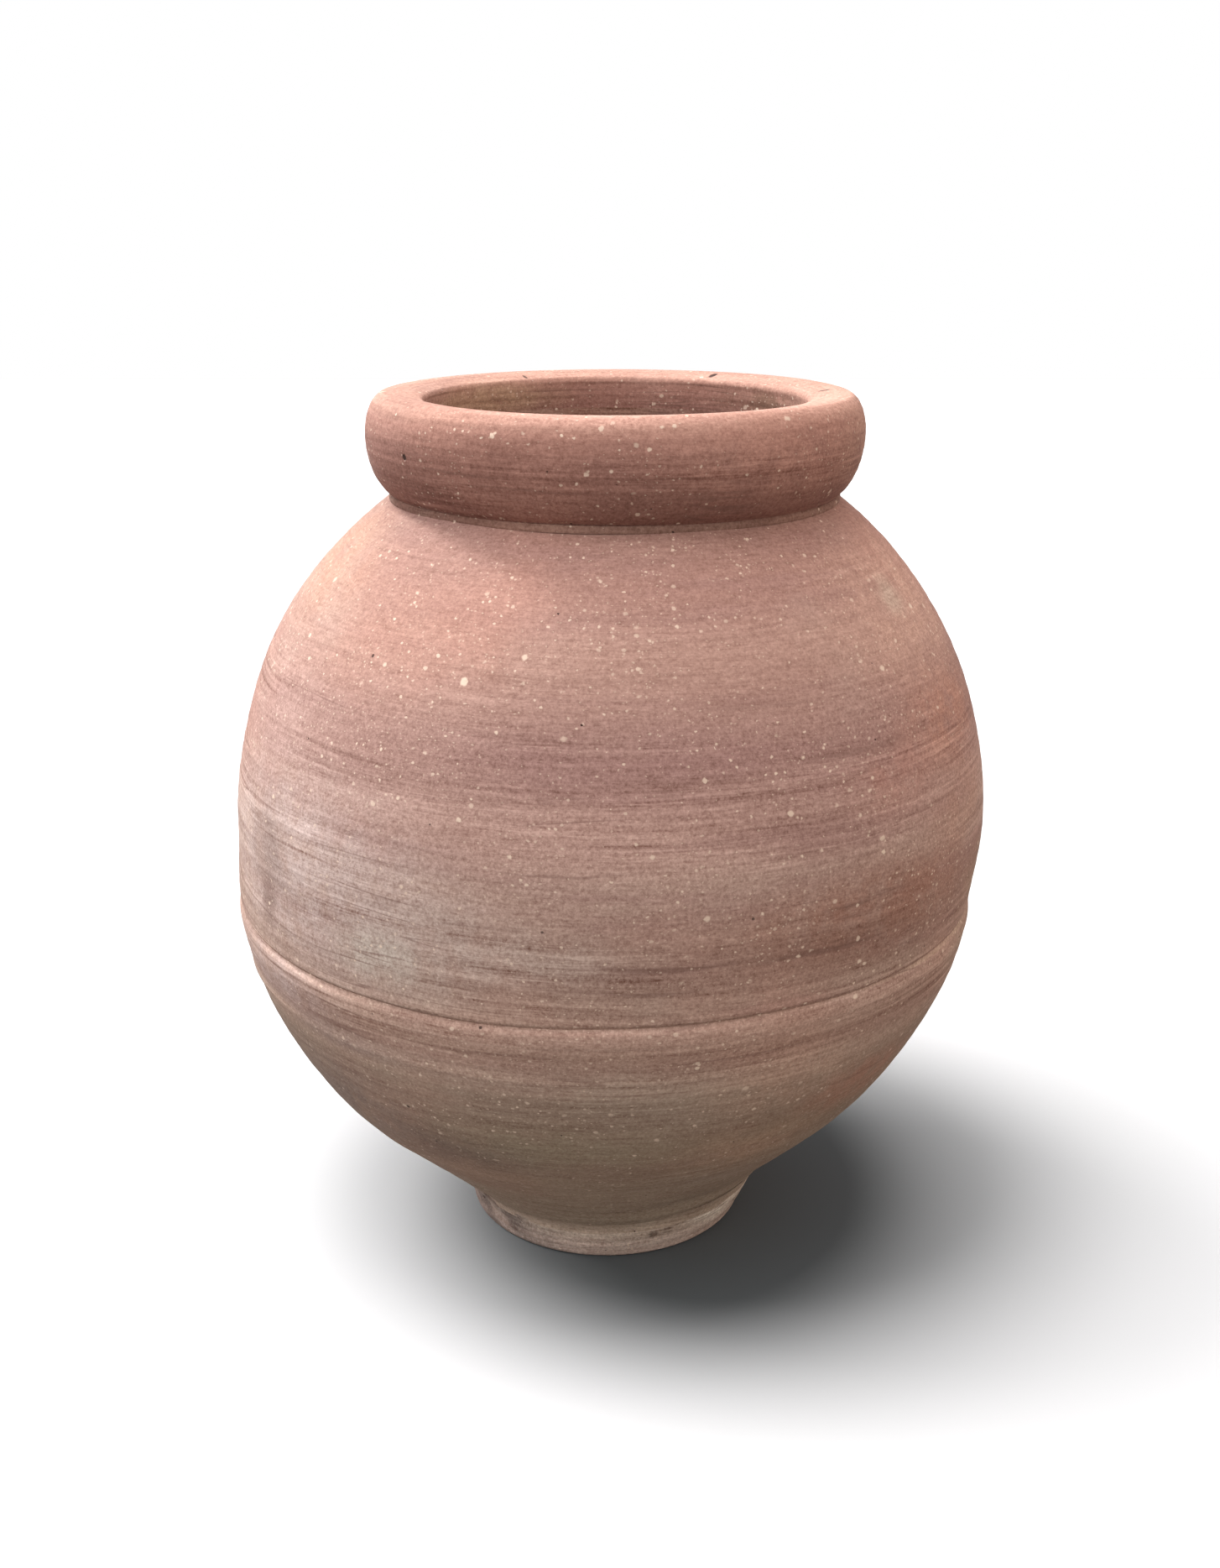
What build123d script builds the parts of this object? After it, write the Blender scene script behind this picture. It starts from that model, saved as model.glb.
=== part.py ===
from build123d import *
import os
from math import hypot, sqrt

# Round clay jar with a rolled rim and a low foot, built from luted sections.
# Millimetres, +Z up, origin on the ground at the middle of the foot.

# Foot and base
foot_height = 36.0          # ground to the top of the foot ring
foot_top_radius = 126.0     # outer radius at the crease under the bowl
foot_taper = 11.0           # how much narrower the foot is on the ground
foot_wall = 42.0            # crease in to the bore of the ring
foot_edge_round = 5.0       # worn edges on the ground
base_thickness = 17.0       # slab that closes the bottom
base_bevel = 16.0           # how far the slab's edge slopes in

# Luting slip
slip_thickness = 1.5        # every layer of slip between two sections
slip_squeeze = 1.0          # slip pressed out of the foot joint

# Lower half of the belly
wall = 15.0                 # clay wall of both halves
bowl_height = 271.5         # base to the seam
corner_height = 164.2       # base to the corner that the round part of the bowl cuts off
corner_inset = 13.7         # how far that corner lies inside the bowl's rim
lap_height = 18.0           # height of the tongue around the bowl's rim
lap_wall = 7.0              # thickness of that tongue
seam_ledge = 1.5            # how far the tongue stands proud of the wall above it

# Coil over the joint, inside
coil_reach = 16.0           # above and below the joint
coil_bulge = 6.0            # inwards from the wall

# Upper half of the belly and the shoulder
belly_radius = 310.0        # widest part
seam_inset = 2.0            # how much the wall has drawn in just above the seam
flank_height = 63.0         # seam to the widest part
shoulder_height = 264.5     # widest part to the collar's seat
neck_depth = 16.0           # upright edge of the shoulder inside the neck

# Collar and rim
mouth_radius = 150.5        # clear opening
collar_wall = 15.0
collar_height = 42.0
rim_width = 45.5            # mouth out to the widest part of the roll
rim_widest_height = 43.0    # collar seat to the widest part of the roll
rim_crown_height = 30.5     # widest part to the top of the rim
crest_width = 27.5          # mouth out to the circle along the top of the rim
lip_drop = 6.0              # top of the rim down to the mouth's edge
rim_tuck_height = 16.5      # collar seat to where the roll's face turns under
rim_tuck_inset = 4.7        # how far the face has drawn in there
rim_seat_width = 8.5        # strip of the shoulder that the roll sits on
bead_width = 7.0            # slip bead along the shoulder
bead_height = 5.0           # slip bead up the roll

# Levels and radii that follow from the sizes above
base_z = foot_height + slip_thickness
base_top_z = base_z + base_thickness
base_top_radius = foot_top_radius - base_bevel
seam_z = base_z + bowl_height
shelf_z = seam_z - lap_height
belly_z = seam_z + flank_height
neck_z = belly_z + shoulder_height
collar_z = neck_z + slip_thickness
collar_top_z = collar_z + collar_height
rim_widest_z = neck_z + rim_widest_height
rim_top_z = rim_widest_z + rim_crown_height
mouth_z = rim_top_z - lip_drop

foot_base_radius = foot_top_radius - foot_taper
foot_bore_radius = foot_top_radius - foot_wall
seam_radius = belly_radius - seam_inset
tongue_outer = seam_radius + seam_ledge
tongue_inner = tongue_outer - lap_wall
skirt_outer = tongue_inner - slip_thickness
inner_radius = seam_radius - wall
neck_radius = mouth_radius + collar_wall
rim_radius = mouth_radius + rim_width
crest_radius = mouth_radius + crest_width
rim_seat_radius = neck_radius + rim_seat_width


# Circle that leaves a point in a given direction and passes through another: its centre and radius
def tangent_circle(start, direction, end):
    length = hypot(*direction)
    across = (-direction[1] / length, direction[0] / length)
    reach = (end[0] - start[0], end[1] - start[1])
    offset_across = reach[0] * across[0] + reach[1] * across[1]
    radius = (reach[0] ** 2 + reach[1] ** 2) / (2 * offset_across)
    return start[0] + radius * across[0], start[1] + radius * across[1], abs(radius)


# Outer half of a circle: the radius from the axis at a height, and the upper height at a radius
def radius_at(circle, z):
    return circle[0] + sqrt(circle[2] ** 2 - (z - circle[1]) ** 2)


def height_at(circle, r):
    return circle[1] + sqrt(circle[2] ** 2 - (r - circle[0]) ** 2)


# Corners that neighbouring sections share
crease = (foot_top_radius, base_z)
bowl_rim = (tongue_outer, seam_z)
bowl_corner = (tongue_outer - corner_inset, base_z + corner_height)
corner_to_rim = hypot(corner_inset, bowl_rim[1] - bowl_corner[1])
cone_length = hypot(bowl_corner[0] - crease[0], corner_height)
cone_direction = ((bowl_corner[0] - crease[0]) / cone_length, corner_height / cone_length)
knee = (
    bowl_corner[0] - corner_to_rim * cone_direction[0],
    bowl_corner[1] - corner_to_rim * cone_direction[1],
)
inner_knee = (knee[0] - wall * cone_direction[1], knee[1] + wall * cone_direction[0])
inner_shelf = (inner_radius, shelf_z)
bowl_inner_circle = tangent_circle(inner_knee, cone_direction, inner_shelf)

widest = (belly_radius, belly_z)
neck_edge = (neck_radius, neck_z)
shoulder_circle = tangent_circle(widest, (0, 1), neck_edge)
rim_seat = (rim_seat_radius, height_at(shoulder_circle, rim_seat_radius))
seat_middle_radius = (neck_radius + rim_seat_radius) / 2
seat_middle = (seat_middle_radius, height_at(shoulder_circle, seat_middle_radius))

rim_widest = (rim_radius, rim_widest_z)
rim_tuck = (rim_radius - rim_tuck_inset, neck_z + rim_tuck_height)
face_circle = tangent_circle(rim_widest, (0, 1), rim_tuck)
tuck_direction = (rim_tuck[1] - face_circle[1], face_circle[0] - rim_tuck[0])
under_circle = tangent_circle(rim_tuck, tuck_direction, rim_seat)

os.makedirs("parts", exist_ok=True)

# Foot ring: tapered outside, straight bore, both ground edges rounded
with BuildPart() as foot_ring:
    with BuildSketch(Plane.XZ):
        with BuildLine():
            Polyline(
                (foot_bore_radius, 0),
                (foot_base_radius, 0),
                (foot_top_radius, foot_height),
                (foot_bore_radius, foot_height),
                close=True,
            )
        section = make_face()
        fillet(section.vertices().group_by(Axis.Y)[0], foot_edge_round)
    revolve(axis=Axis.Z)
foot_ring.part.label = "foot_ring"
export_step(foot_ring.part, "parts/foot_ring.step")

# Slip on top of the foot, pressed out a little at the crease
with BuildPart() as foot_slip:
    with BuildSketch(Plane.XZ):
        with BuildLine():
            Polyline(
                crease,
                (foot_bore_radius, base_z),
                (foot_bore_radius, foot_height),
                (foot_top_radius, foot_height),
                (foot_top_radius + slip_squeeze, foot_height + slip_thickness / 2),
                close=True,
            )
        make_face()
    revolve(axis=Axis.Z)
foot_slip.part.label = "foot_slip"
export_step(foot_slip.part, "parts/foot_slip.step")

# Base slab with its edge bevelled to carry the bowl's wall
with BuildPart() as base_disc:
    with BuildSketch(Plane.XZ):
        with BuildLine():
            Polyline(
                (0, base_z),
                crease,
                (base_top_radius, base_top_z),
                (0, base_top_z),
                close=True,
            )
        make_face()
    revolve(axis=Axis.Z)
base_disc.part.label = "base_disc"
export_step(base_disc.part, "parts/base_disc.step")

# Lower bowl: cone, round belly, and a tongue that stands up around its rim
with BuildPart() as lower_bowl:
    with BuildSketch(Plane.XZ):
        with BuildLine():
            Line(crease, knee)
            TangentArc(knee, bowl_rim, tangent=cone_direction)
            Polyline(bowl_rim, (tongue_inner, seam_z), (tongue_inner, shelf_z), inner_shelf)
            TangentArc(inner_knee, inner_shelf, tangent=cone_direction)
            Polyline(inner_knee, (base_top_radius, base_top_z), crease)
        make_face()
    revolve(axis=Axis.Z)
lower_bowl.part.label = "lower_bowl"
export_step(lower_bowl.part, "parts/lower_bowl.step")

# Slip in the lap joint: under the skirt, behind the tongue and on top of it
with BuildPart() as seam_slip:
    with BuildSketch(Plane.XZ):
        with BuildLine():
            Polyline(
                inner_shelf,
                (tongue_inner, shelf_z),
                (tongue_inner, seam_z),
                (seam_radius, seam_z),
                (seam_radius, seam_z + slip_thickness),
                (skirt_outer, seam_z + slip_thickness),
                (skirt_outer, shelf_z + slip_thickness),
                (inner_radius, shelf_z + slip_thickness),
                close=True,
            )
        make_face()
    revolve(axis=Axis.Z)
seam_slip.part.label = "seam_slip"
export_step(seam_slip.part, "parts/seam_slip.step")

# Coil over the joint on the inside, bedded on the bowl's curve and the upper wall
coil_low_z = shelf_z - coil_reach
coil_low = (radius_at(bowl_inner_circle, coil_low_z), coil_low_z)
coil_bed_z = shelf_z - coil_reach / 2
coil_bed = (radius_at(bowl_inner_circle, coil_bed_z), coil_bed_z)
coil_high = (inner_radius, shelf_z + coil_reach)
with BuildPart() as inner_seam_coil:
    with BuildSketch(Plane.XZ):
        with BuildLine():
            ThreePointArc(coil_low, coil_bed, inner_shelf)
            Line(inner_shelf, coil_high)
            ThreePointArc(coil_high, ((coil_low[0] + inner_radius) / 2 - coil_bulge, shelf_z), coil_low)
        make_face()
    revolve(axis=Axis.Z)
inner_seam_coil.part.label = "inner_seam_coil"
export_step(inner_seam_coil.part, "parts/inner_seam_coil.step")

# Upper body: thin skirt behind the tongue, flank, shoulder and a flat seat for the collar
with BuildPart() as upper_body:
    with BuildSketch(Plane.XZ):
        with BuildLine():
            Polyline(
                (inner_radius, belly_z),
                (inner_radius, shelf_z + slip_thickness),
                (skirt_outer, shelf_z + slip_thickness),
                (skirt_outer, seam_z + slip_thickness),
                (seam_radius, seam_z + slip_thickness),
            )
            TangentArc(widest, (seam_radius, seam_z + slip_thickness), tangent=(0, -1))
            TangentArc(widest, neck_edge, tangent=(0, 1))
            Polyline(neck_edge, (mouth_radius, neck_z), (mouth_radius, neck_z - neck_depth))
            TangentArc((inner_radius, belly_z), (mouth_radius, neck_z - neck_depth), tangent=(0, 1))
        make_face()
    revolve(axis=Axis.Z)
upper_body.part.label = "upper_body"
export_step(upper_body.part, "parts/upper_body.step")

# Slip between the shoulder's edge and the collar
with BuildPart() as neck_slip:
    with BuildSketch(Plane.XZ):
        with BuildLine():
            Polyline(
                (mouth_radius, neck_z),
                neck_edge,
                (neck_radius, collar_z),
                (mouth_radius, collar_z),
                close=True,
            )
        make_face()
    revolve(axis=Axis.Z)
neck_slip.part.label = "neck_slip"
export_step(neck_slip.part, "parts/neck_slip.step")

# Upright collar that the rim hooks over
with BuildPart() as neck_collar:
    with BuildSketch(Plane.XZ):
        with BuildLine():
            Polyline(
                (mouth_radius, collar_z),
                (neck_radius, collar_z),
                (neck_radius, collar_top_z),
                (mouth_radius, collar_top_z),
                close=True,
            )
        make_face()
    revolve(axis=Axis.Z)
neck_collar.part.label = "neck_collar"
export_step(neck_collar.part, "parts/neck_collar.step")

# Rolled rim: over the collar's top, down its outside and onto the shoulder
with BuildPart() as rim_roll:
    with BuildSketch(Plane.XZ):
        with BuildLine():
            Polyline(
                (mouth_radius, mouth_z),
                (mouth_radius, collar_top_z),
                (neck_radius, collar_top_z),
                neck_edge,
            )
            ThreePointArc(neck_edge, seat_middle, rim_seat)
            TangentArc(rim_widest, rim_tuck, tangent=(0, -1))
            TangentArc(rim_tuck, rim_seat, tangent=tuck_direction)
            EllipticalCenterArc((crest_radius, rim_widest_z), rim_radius - crest_radius, rim_crown_height)
            TangentArc((crest_radius, rim_top_z), (mouth_radius, mouth_z), tangent=(-1, 0))
        make_face()
    revolve(axis=Axis.Z)
rim_roll.part.label = "rim_roll"
export_step(rim_roll.part, "parts/rim_roll.step")

# Bead of slip in the crease between the roll and the shoulder
bead_foot = (rim_seat_radius + bead_width, height_at(shoulder_circle, rim_seat_radius + bead_width))
bead_bed_radius = rim_seat_radius + bead_width / 2
bead_bed = (bead_bed_radius, height_at(shoulder_circle, bead_bed_radius))
bead_top_z = rim_seat[1] + bead_height
bead_top = (radius_at(under_circle, bead_top_z), bead_top_z)
bead_back_z = rim_seat[1] + bead_height / 2
bead_back = (radius_at(under_circle, bead_back_z), bead_back_z)
with BuildPart() as rim_bead:
    with BuildSketch(Plane.XZ):
        with BuildLine():
            ThreePointArc(rim_seat, bead_bed, bead_foot)
            Line(bead_foot, bead_top)
            ThreePointArc(bead_top, bead_back, rim_seat)
        make_face()
    revolve(axis=Axis.Z)
rim_bead.part.label = "rim_bead"
export_step(rim_bead.part, "parts/rim_bead.step")
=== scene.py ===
import math

import bpy
import numpy as np
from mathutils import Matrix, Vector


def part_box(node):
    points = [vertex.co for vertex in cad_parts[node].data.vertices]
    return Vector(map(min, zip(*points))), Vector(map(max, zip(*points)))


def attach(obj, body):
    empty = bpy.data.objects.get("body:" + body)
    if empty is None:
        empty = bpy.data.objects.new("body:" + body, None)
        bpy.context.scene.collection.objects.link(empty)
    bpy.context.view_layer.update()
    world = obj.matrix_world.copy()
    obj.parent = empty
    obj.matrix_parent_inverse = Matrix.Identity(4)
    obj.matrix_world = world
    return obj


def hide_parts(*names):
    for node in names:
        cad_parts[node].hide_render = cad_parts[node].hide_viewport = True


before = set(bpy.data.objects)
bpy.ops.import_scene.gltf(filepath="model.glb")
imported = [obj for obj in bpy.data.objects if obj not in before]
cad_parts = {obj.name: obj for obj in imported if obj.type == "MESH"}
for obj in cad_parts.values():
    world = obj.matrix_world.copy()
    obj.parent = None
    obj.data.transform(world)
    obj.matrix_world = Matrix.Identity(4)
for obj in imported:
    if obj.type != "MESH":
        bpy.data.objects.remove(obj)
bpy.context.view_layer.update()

scene = bpy.context.scene
scene.view_settings.view_transform = "Standard"
print("frame loaded:", sorted(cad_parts))

# Sizes of the jar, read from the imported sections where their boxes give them, metres
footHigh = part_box("foot_ring")[1]
baseLow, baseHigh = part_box("base_disc")
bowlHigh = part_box("lower_bowl")[1]
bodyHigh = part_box("upper_body")[1]
collarLow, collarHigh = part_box("neck_collar")
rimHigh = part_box("rim_roll")[1]
slipLayer = baseLow.z - footHigh.z  # thickness of every layer of slip
clayWall = 0.015
rollCentre = (0.172, 0.676)  # radius and height that the rim curls around
wallLean = {"shoulder": -0.6, "bowl": 0.6, "level": 0.15}  # how lines climb with the radius
facesAround = {"rim": 640, "wall": 560, "ring": 420, "slab": 260}
fullTurn = 6.283

# How the jar departs from a true turned shape: lean and tilt by height, a slow wave in plan
settleLook = {
    "leanHeights": (0.0, 0.036, 0.075, 0.2, 0.309, 0.372, 0.5, 0.637, 0.71),
    "leanSideways": (-0.005, 0.002, -0.0068, -0.0068, -0.0055, -0.001, -0.0004, 0.0026, 0.0033),
    "tiltHeights": (0.0, 0.037, 0.08, 0.309, 0.372, 0.637, 0.71),
    "tilts": (0.0, 0.044, 0.018, 0.006, 0.0, -0.002, -0.001),
    "nodHeights": (0.0, 0.520, 0.637, 0.71),
    "nods": (0.0, 0.0, 0.0095, 0.0095),  # the rim stands higher at the front
    "rises": (0.0, 0.0, 0.0018, 0.0018),
    "outOfRound": 0.0009,  # metres
    "planWaves": (2, 3, 5),
    "drift": 9,
    "growRadius": 0.31,  # unevenness grows up to this radius and this height
    "growHeight": 0.05,
    "footSpread": 0.004,
    "footSpreadHeights": (0.040, 0.075),
    "footSpreadFrom": 0.05,
    "seamWave": 0.0011,
    "seamWaves": (3, 5, 8, 13),
    "seamTall": 0.035,
    "seamFrom": 0.25,
    "edgeWide": 0.05,  # radius over which the spread and the seam's wave come in
    "swellings": (  # angle in degrees, height, half widths around (degrees) and up, metres outward
        (172, 0.590, 42, 0.045, 0.0024),
        (178, 0.455, 42, 0.060, -0.0016),
        (4, 0.345, 40, 0.055, -0.0026),
        (180, 0.130, 400, 0.060, 0.0030),
    ),
    "seed": 41,
}


def eased(share):
    # soft step from 0 to 1
    return share * share * (3 - 2 * share)


def handWave(angle, seed, turns, pull=0.0):
    # smooth closed wave around the jar, about -1 to 1, drifting with pull
    draw = np.random.default_rng(seed)
    total = 0.0
    for turn in turns:
        strength, start = draw.uniform(0.5, 1.0), draw.uniform(0, fullTurn)
        total = total + strength * np.cos(turn * angle + start + draw.uniform(-1, 1) * pull)
    return total / (0.75 * len(turns))


def easedSteps(height, heights, values):
    # the values at those heights, joined by soft steps
    height = np.clip(height, heights[0], heights[-1])
    index = np.clip(np.searchsorted(heights, height, side="right") - 1, 0, len(heights) - 2)
    low, high = np.array(heights)[index], np.array(heights)[index + 1]
    share = eased((height - low) / (high - low))
    return np.array(values)[index] * (1 - share) + np.array(values)[index + 1] * share


def settle(radius, angle, height):
    # every point of every section goes through this, so sections that touch stay in touch
    look = settleLook
    seed, edge = look["seed"], look["edgeWide"]
    grounded = np.clip(height / look["growHeight"], 0, 1)
    body = np.clip(radius / look["growRadius"], 0, 1) * grounded
    wave = handWave(angle, seed, look["planWaves"], height * look["drift"])
    radius = radius + look["outOfRound"] * body * wave
    for turn, level, wide, tall, depth in look["swellings"]:
        off = (np.degrees(angle) - turn + 180) % 360 - 180
        radius = radius + body * depth * np.exp(-(off / wide) ** 2 - ((height - level) / tall) ** 2)
    low, high = look["footSpreadHeights"]
    spreading = eased(np.clip((high - height) / (high - low), 0, 1))
    spreading = spreading * np.clip((radius - look["footSpreadFrom"]) / edge, 0, 1)
    radius = radius + look["footSpread"] * spreading
    nearSeam = np.exp(-((height - bowlHigh.z) / look["seamTall"]) ** 2)
    nearSeam = nearSeam * np.clip((radius - look["seamFrom"]) / edge, 0, 1)
    lift = look["seamWave"] * nearSeam * handWave(angle, seed + 1, look["seamWaves"])
    x, y = radius * np.cos(angle), radius * np.sin(angle)
    tilt = easedSteps(height, look["tiltHeights"], look["tilts"])
    lean = easedSteps(height, look["leanHeights"], look["leanSideways"])
    nod = easedSteps(height, look["nodHeights"], look["nods"])
    lift = lift + easedSteps(height, look["nodHeights"], look["rises"]) - nod * y
    return x + lean, y, height + tilt * x + lift


def straight(start, end, step):
    # points along a straight face, the end left to the next face
    count = max(1, round(math.dist(start, end) / step))
    share = np.arange(count)[:, None] / count
    return np.array(start) * (1 - share) + np.array(end) * share


def circleThrough(start, direction, end):
    # centre and radius of the arc that leaves start in a direction and reaches end
    start, end = np.array(start, float), np.array(end, float)
    across = np.array((-direction[1], direction[0])) / math.hypot(*direction)
    reach = end - start
    swing = reach @ reach / (2 * (reach @ across))
    return start + swing * across, abs(swing)


def tangentArc(start, direction, end, step):
    # points along that arc, the end left to the next face
    centre, swing = circleThrough(start, direction, end)
    first = math.atan2(*(start - centre)[::-1])
    turn = (math.atan2(*(end - centre)[::-1]) - first + math.pi) % (2 * math.pi) - math.pi
    count = max(2, round(abs(turn) * swing / step))
    angle = first + turn * np.arange(count) / count
    return centre + swing * np.stack((np.cos(angle), np.sin(angle)), 1)


def backArc(start, direction, end, step):
    # the same arc from its end back, the start left to the next face
    return np.concatenate(([end], tangentArc(start, direction, end, step)[:0:-1]))


def ellipseArc(centre, wide, tall, first, last, step):
    count = max(2, round(abs(last - first) * (wide + tall) / 2 / step))
    angle = first + (last - first) * np.arange(count) / count
    return np.array(centre) + np.stack((wide * np.cos(angle), tall * np.sin(angle)), 1)


def outline(*corners):
    # faces from corner to corner and back to the first
    # corner = point, step, kind, and a direction where an arc leaves it
    faces = []
    for (start, step, kind, *direction), (end, *_) in zip(corners, corners[1:] + corners[:1]):
        if direction:
            faces.append((tangentArc(start, *direction, end, step), kind))
        else:
            faces.append((straight(start, end, step), kind))
    return faces


# How a section is meshed: where relief fades, and how much of the bake map its joints get
turnLook = {"fade": 0.005, "jointShare": 0.35, "mapEdge": 0.002, "sharpAngle": 48}


def turned(name, faces, segments, relief=None, closed=True):
    # a section turned about the axis; faces = (points, kind) in order, the clay on their left
    look = turnLook
    points = np.concatenate([face for face, kind in faces])
    kinds = np.concatenate([np.full(len(face), kind) for face, kind in faces])
    seen, inner = kinds != "joint", kinds == "inside"
    after, before = np.roll(points, -1, 0), np.roll(points, 1, 0)
    if not closed:
        after[-1], before[0] = points[-1], points[0]
    tangent = after - before
    normal = np.stack((tangent[:, 1], -tangent[:, 0]), 1) / np.hypot(*tangent.T)[:, None]
    gaps = np.hypot(*(after - points).T)
    along = np.concatenate(([0], np.cumsum(gaps)[:-1]))
    hidden = along[~seen]  # relief fades out towards the joints
    room = np.full(len(points), 1.0)
    if len(hidden):
        whole = gaps.sum()
        apart = np.abs(along[:, None] - hidden[None])
        room = np.minimum(apart, whole - apart if closed else apart).min(1)
    fade = eased(np.clip(room / look["fade"], 0, 1))[:, None]
    angle = np.linspace(0, 2 * math.pi, segments, endpoint=False)[None]
    radius, height = points[:, :1], points[:, 1:]
    push = np.zeros((1, segments))
    if relief:
        push = fade * relief(angle, radius, height, inner[:, None])
    radiusOut = np.where(radius > 1e-6, radius + push * normal[:, :1], 0 * push)
    x, y, z = settle(radiusOut, angle, height + push * normal[:, 1:])
    rows, grid = len(points), np.stack((x, y, z), 2)
    corner = np.arange(rows * segments).reshape(rows, segments)
    edge = look["mapEdge"]
    u = np.linspace(edge, 1 - edge, segments + 1)
    v = np.concatenate(([0], np.cumsum(np.where(seen, 1.0, look["jointShare"]) * gaps)))
    v = edge + (1 - 2 * edge) * v / (v[-1] if closed else v[-2])
    verts, polygons, maps = grid.reshape(-1, 3), [], []
    middle = (u[:-1] + u[1:]) / 2
    for row in range(rows if closed else rows - 1):
        lower, upper = corner[row], corner[(row + 1) % rows]
        nextLower, nextUpper = np.roll(lower, -1), np.roll(upper, -1)
        low, high = np.full(segments, v[row]), np.full(segments, v[row + 1])
        start = [(lower, u[:-1], low), (nextLower, u[1:], low)]
        end = [(nextUpper, u[1:], high), (upper, u[:-1], high)]
        if not closed and row == 0:  # fan from the lower pole
            start = [(lower * 0 + lower[0], middle, low)]
        if not closed and row == rows - 2:  # fan to the upper pole
            end = [(upper * 0 + upper[0], middle, high)]
        polygons += np.stack([index for index, across, up in start + end], 1).tolist()
        spots = np.stack([(across, up) for index, across, up in start + end])
        maps += spots.transpose(2, 0, 1).reshape(-1, 2).tolist()
    if not closed:  # each pole is one point
        used = np.arange(segments - 1, rows * segments - segments + 1)
        verts = verts[used]
        polygons = [[max(0, index - segments + 1) for index in polygon] for polygon in polygons]
    mesh = bpy.data.meshes.new(name)
    mesh.from_pydata(verts.tolist(), [], polygons)
    layer = mesh.uv_layers.new(name="OFBake")
    layer.uv.foreach_set("vector", np.array(maps, np.float32).ravel())
    mesh.update()
    mesh.shade_smooth()
    mesh.set_sharp_from_angle(angle=math.radians(look["sharpAngle"]))
    piece = bpy.data.objects.new(name, mesh)
    scene.collection.objects.link(piece)
    print(name, "faces", len(mesh.polygons))
    return piece


# Relief that the sections share
reliefLook = {
    "ringTurns": (1, 4),
    "ringPull": (4, 14),
    "ringDepth": (0.55, 0.45),  # even, and coming and going
    "bulgeWaves": (2, 3, 4, 6, 7),
    "bulgeRuns": (14, 40),
    "bulgeSum": 2.5,
}


def throwingRings(angle, run, seed, pitches, depth):
    # shallow spiral grooves left by fingers and tools; run = distance along the wall
    look = reliefLook
    draw = np.random.default_rng(seed)
    even, changing = look["ringDepth"]
    total = 0.0
    for pitch in pitches:
        turns, start = draw.integers(*look["ringTurns"]), draw.uniform(0, fullTurn)
        pull = draw.uniform(*look["ringPull"])
        slow = even + changing * np.cos(turns * angle + start + run * pull)
        total = total + slow * np.sin(fullTurn * run / pitch - angle + draw.uniform(0, fullTurn))
    return depth * total / len(pitches)


def slowBulges(angle, run, seed, depth):
    look = reliefLook
    draw = np.random.default_rng(seed)
    total = 0.0
    for turn in look["bulgeWaves"]:
        around = np.cos(turn * angle + draw.uniform(0, fullTurn))
        climb = run * draw.uniform(*look["bulgeRuns"])
        total = total + around * np.sin(climb + draw.uniform(0, fullTurn))
    return depth * total / look["bulgeSum"]


def handRipple(look, angle, height, seedStep=0):
    # unevenness left by fingers
    waves, pull = look["waves"], look["pull"]
    return look["ripple"] * handWave(angle, look["seed"] + seedStep, waves, height * pull)


def outsideRelief(look, angle, run):
    rings = throwingRings(angle, run, look["seed"], look["pitches"], look["rings"])
    return rings + slowBulges(angle, run, look["seed"] + 1, look["bulges"])


def insideRelief(look, angle, run):
    return throwingRings(angle, run, look["seed"] + 3, look["insidePitches"], look["insideRings"])


# Foot ring
footLook = {
    "bore": 0.084,
    "groundRadius": 0.115,
    "edgeRound": 0.005,
    "flatBelow": 0.006,  # the ground face stays flat
    "pitches": (0.0072, 0.0115, 0.019),
    "rings": 0.00035,
    "outsideRings": 1.6,  # times those inside
    "ripple": 0.00035,
    "waves": (3, 4, 7, 11, 17),
    "pull": 60,
    "seed": 7,
}


def footRelief(angle, radius, height, inner):
    look = footLook
    grooves = throwingRings(angle, height, look["seed"], look["pitches"], look["rings"])
    outer = grooves * look["outsideRings"] + handRipple(look, angle, height, 3)
    standing = np.clip(height / look["flatBelow"], 0, 1)
    return standing * np.where(inner, grooves, outer)


def makeFoot():
    look = footLook
    bore, ground, edge = look["bore"], look["groundRadius"], look["edgeRound"]
    top, topRadius = footHigh.z, footHigh.x
    wall = np.array((topRadius - ground, top)) / math.hypot(topRadius - ground, top)
    bend = edge * math.tan(math.acos(wall[0]) / 2)
    outerStart = (ground - bend, 0.0)
    outerEnd = (ground + bend * wall[0], bend * wall[1])
    faces = outline(
        ((bore + edge, 0.0), 0.003, "joint"),
        (outerStart, 0.0009, "outside", (1, 0)),
        (outerEnd, 0.0016, "outside"),
        ((topRadius, top), 0.014, "joint"),
        ((bore, top), 0.0022, "inside"),
        ((bore, edge), 0.0011, "outside", (0, -1)),
    )
    return turned("footRing", faces, facesAround["ring"], footRelief)


# Slip smeared over the crease between foot and bowl
footSlipLook = {
    "up": 0.010,
    "down": 0.008,
    "ripple": 0.00035,
    "waves": (5, 9, 14, 23),
    "pull": 90,
    "seed": 19,
}


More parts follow.
